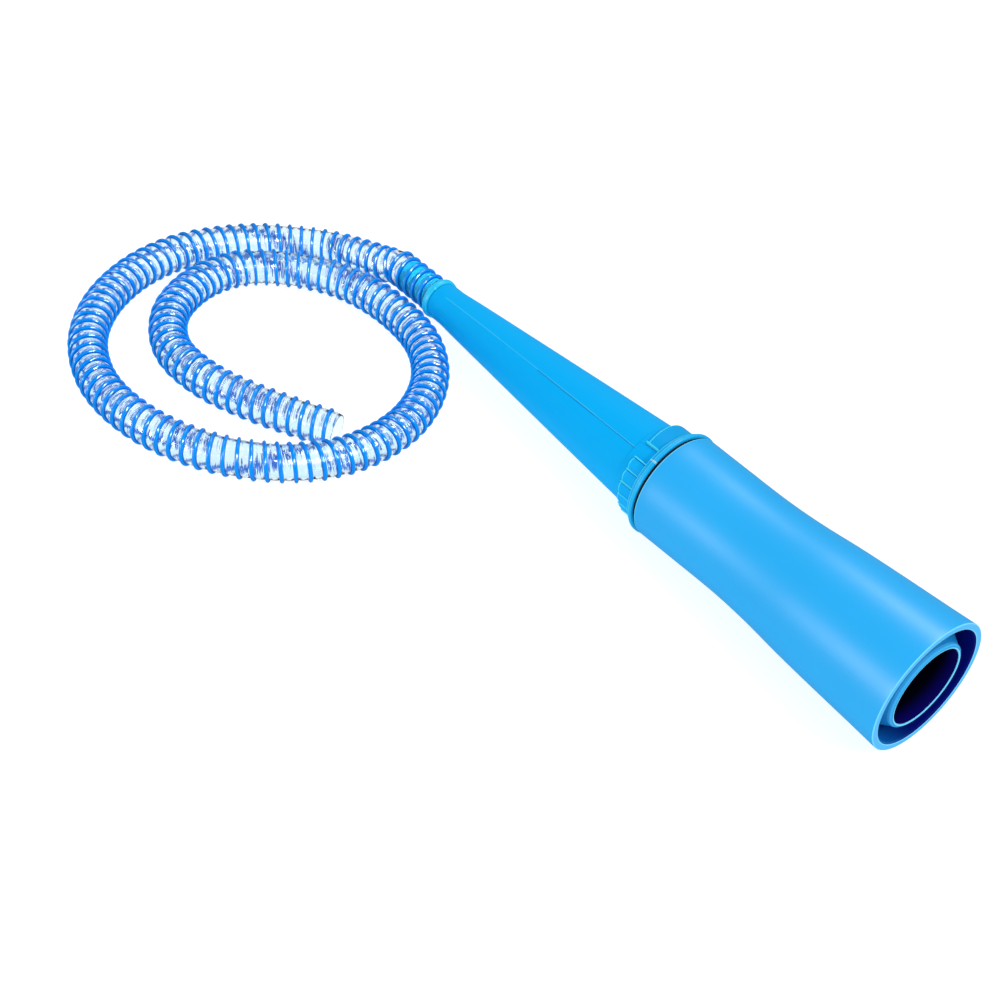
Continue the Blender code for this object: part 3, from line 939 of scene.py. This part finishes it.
class Hose:
    """The centreline with its frames, read at any distance along it."""

    def __init__(self, spacing):
        self.line, self.length = hose_line(spacing)
        self.frames = carried_frames(self.line)
        self.step = self.length / (len(self.line) - 1)

    def point(self, distance, radius, angle):
        place = min(max(distance / self.step, 0.0), len(self.line) - 1.000001)
        index = int(place)
        share = place - index
        centre = self.line[index].lerp(self.line[index + 1], share)
        across = self.frames[index][0].lerp(self.frames[index + 1][0], share)
        beside = self.frames[index][1].lerp(self.frames[index + 1][1], share)
        return centre + (across * math.cos(angle) + beside * math.sin(angle)) * radius


def build_hose_wall(hose, clear, rippled):
    """The thin clear wall, bulging between the turns of the rib, with a map wound like the rib."""
    rings = round(hose.length / (WALL_STEP * MM))
    columns = WALL_COLUMNS
    points = []
    for outside in (True, False):
        for ring in range(rings + 1):
            distance = hose.length * ring / rings
            for column in range(columns):
                angle = math.pi + 2 * math.pi * column / columns
                wave = math.cos(2 * math.pi * distance / (HOSE_PITCH * MM) - angle)
                radius = HOSE_WALL_RADIUS - WALL_BULGE - WALL_BULGE * wave
                if not outside:
                    radius += WALL_BULGE * 1.5 * wave - HOSE_WALL
                points.append(hose.point(distance, radius * MM, angle))
    faces, places, slots = [], [], []
    shell = (rings + 1) * columns
    for column in range(columns):
        beside = (column + 1) % columns
        for ring in range(rings):
            a, b = ring * columns, (ring + 1) * columns
            faces.append((a + column, b + column, b + beside, a + beside))
            faces.append((shell + a + column, shell + a + beside, shell + b + beside, shell + b + column))
            corners = [(ring, column), (ring + 1, column), (ring + 1, column + 1), (ring, column + 1)]
            places += [corners, [corners[0], corners[3], corners[2], corners[1]]]
            slots += [0, 1]
        last = rings * columns
        faces.append((column, beside, shell + beside, shell + column))
        faces.append((last + column, shell + last + column, shell + last + beside, last + beside))
        places += [[(0, column)] * 4, [(rings, column)] * 4]
        slots += [0, 0]
    wall = add_piece("hose_wall", points, faces, [clear, rippled], slots, sharp=60.0)
    turns_per_ring = hose.length / rings / (HOSE_PITCH * MM)
    layer = wall.data.uv_layers.new(name="winding")
    for polygon in wall.data.polygons:
        row = places[polygon.index]
        for loop in polygon.loop_indices:
            corner = faces[polygon.index].index(wall.data.loops[loop].vertex_index)
            ring, column = row[corner]
            layer.data[loop].uv = (ring * turns_per_ring - column / columns, column / columns)
    return wall


def build_hose_rib(hose, blue, deep):
    """The spiral rib: a half-round bead wound right-handed round the wall, with painted shade, a deeper
    blue, at its foot.
    """
    pitch = HOSE_PITCH * MM
    first = HOSE_RIB_START * MM
    run = hose.length - HOSE_BARE_END * MM - first
    count = round(run / pitch * RIB_STEPS_PER_TURN)
    profile = []
    for index in range(RIB_ARC + 1):
        angle = math.pi * index / RIB_ARC
        width = -HOSE_RIB_HALF_WIDTH * math.cos(angle)
        height = HOSE_RIB_FOOT + (HOSE_RADIUS - HOSE_RIB_FOOT) * math.sin(angle) ** 0.8
        profile.append((width * MM, height * MM))
    size = len(profile)
    low = HOSE_RIB_FOOT * MM
    points = []
    for index in range(count + 1):
        distance = first + run * index / count
        angle = 2 * math.pi * distance / pitch
        taper = min(1.0, index / 6, (count - index) / 6)
        for width, height in profile:
            along = distance + width * (0.3 + 0.7 * taper)
            points.append(hose.point(along, low + (height - low) * taper, angle))
    faces, slots = [], []
    for index in range(count):
        a, b = index * size, (index + 1) * size
        for k in range(size):
            beside = (k + 1) % size
            faces.append((a + k, b + k, b + beside, a + beside))
            slots.append(1 if k in (0, RIB_ARC - 1, RIB_ARC) else 0)
    faces += [tuple(range(size)), tuple(count * size + k for k in range(size))]
    slots += [0, 0]
    return add_piece("hose_rib", points, faces, [blue, deep], slots, sharp=60.0)


def build_hose(clear, rippled, blue, deep):
    """The clear wall and its rib, riding on the handle and lit by the glint."""
    hose = Hose(0.5 * MM)
    wall = build_hose_wall(hose, clear, rippled)
    rib = build_hose_rib(hose, blue, deep)
    finish_piece(wall, "handle", ["hose_cuff", "hose_run"])
    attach(rib, "handle")
    add_glint([wall, rib])


def main():
    bpy.context.scene.view_settings.view_transform = "Standard"
    make_camera()
    make_lights()
    make_floor()

    # Each moulded plastic: its name, colour, roughness and specular level.
    satin = moulded("adapter_satin", (0.007, 0.435, 0.95), 0.38, 0.30)
    grip_skin = moulded("grip_semi_gloss", (0.001, 0.44, 0.95), 0.40, 0.035, depth=0.15)
    # The thumb pad's smooth finish is real; its darker blue is painted shade.
    thumb_pad = moulded("thumb_pad_smooth_painted_shade", (0.001, 0.38, 0.84), 0.36, 0.05, depth=0.15)
    ring_skin = moulded("ring_semi_gloss", (0.005, 0.45, 0.92), 0.32, 0.20)
    # Light cyan on crests and edges: a painted highlight.
    edge = moulded("edge_painted_highlight", (0.06, 0.77, 0.98), 0.35, 0.2)
    # The mould line's lighter side is a painted highlight on a real ridge.
    ridge = moulded("mould_ridge_painted_highlight", (0.03, 0.52, 0.95), 0.35, 0.2)
    # A deeper blue beside ribs and the mould line: painted shade.
    shade = moulded("foot_painted_shade", (0.0, 0.25, 0.62), 0.45, 0.05)
    # Pale ends at the slit: a painted highlight.
    slit_painted_highlight = moulded("slit_end_painted_highlight", (0.45, 0.80, 0.97), 0.40, 0.2)
    # A paler cyan on the mouth's and tail's edges: a painted highlight.
    mouth_edge_painted_highlight = moulded("mouth_edge_painted_highlight", (0.16, 0.68, 0.97), 0.35, 0.2)
    rim = moulded("rim_pale", (0.075, 0.46, 0.90), 0.45, 0.2, vary=0.12)
    lip = moulded("lip_pale", (0.01, 0.30, 0.72), 0.40, 0.2, vary=0.06)
    # The bores' navy colour is painted shade, darkest towards +Y; it turns with the adapter.
    painted_bore_shade = painted_shade_gradient("bore_painted_shade", (0.0, 0.004, 0.15), (0.002, 0.14, 0.46), "Y", *BORE_SHADE)
    socket_span = [MOUTH.x - behind for behind in SOCKET_SHADE]
    # The socket's near-black colour is painted shade, darkest deepest in.
    black = painted_shade_gradient("socket_painted_shade", (0.0, 0.0, 0.006), (0.003, 0.001, 0.13), "X", *socket_span)
    tail = moulded("connector_tail", (0.0, 0.28, 0.50), 0.20, 0.5)
    flange = moulded("connector_flange", (0.008, 0.58, 0.95), 0.30, 0.25)
    rubber = moulded("seal_black", (0.0, 0.0, 0.006), 0.7, 0.1)
    web = moulded("reducer_satin", (0.03, 0.42, 0.86), 0.42, 0.20)
    # The web's deeper blue is painted shade on the same plastic.
    web_painted_shade = moulded("reducer_painted_shade", (0.003, 0.22, 0.58), 0.42, 0.15)

    # The rib's glow is painted light.
    rib_blue = rib_plastic("hose_rib_blue", (0.0, 0.37, 1.0), 0.16)
    # The rib's foot and underside in painted shade.
    rib_painted_shade = rib_plastic("hose_rib_painted_shade", (0.0, 0.20, 0.70), 0.0)
    build_hose(clear_plastic("hose_clear")[0], rippled_plastic(), rib_blue, rib_painted_shade)
    build_adapter(satin, rim, painted_bore_shade, mouth_edge_painted_highlight)
    build_reducer(web, lip, black, mouth_edge_painted_highlight, web_painted_shade)
    build_grip(grip_skin, painted_bore_shade, ridge, shade)
    build_collar([grip_skin, edge, shade, thumb_pad])
    build_ring(ring_skin, edge, slit_painted_highlight)
    build_seal(rubber)
    build_connector(tail, flange, edge)


main()
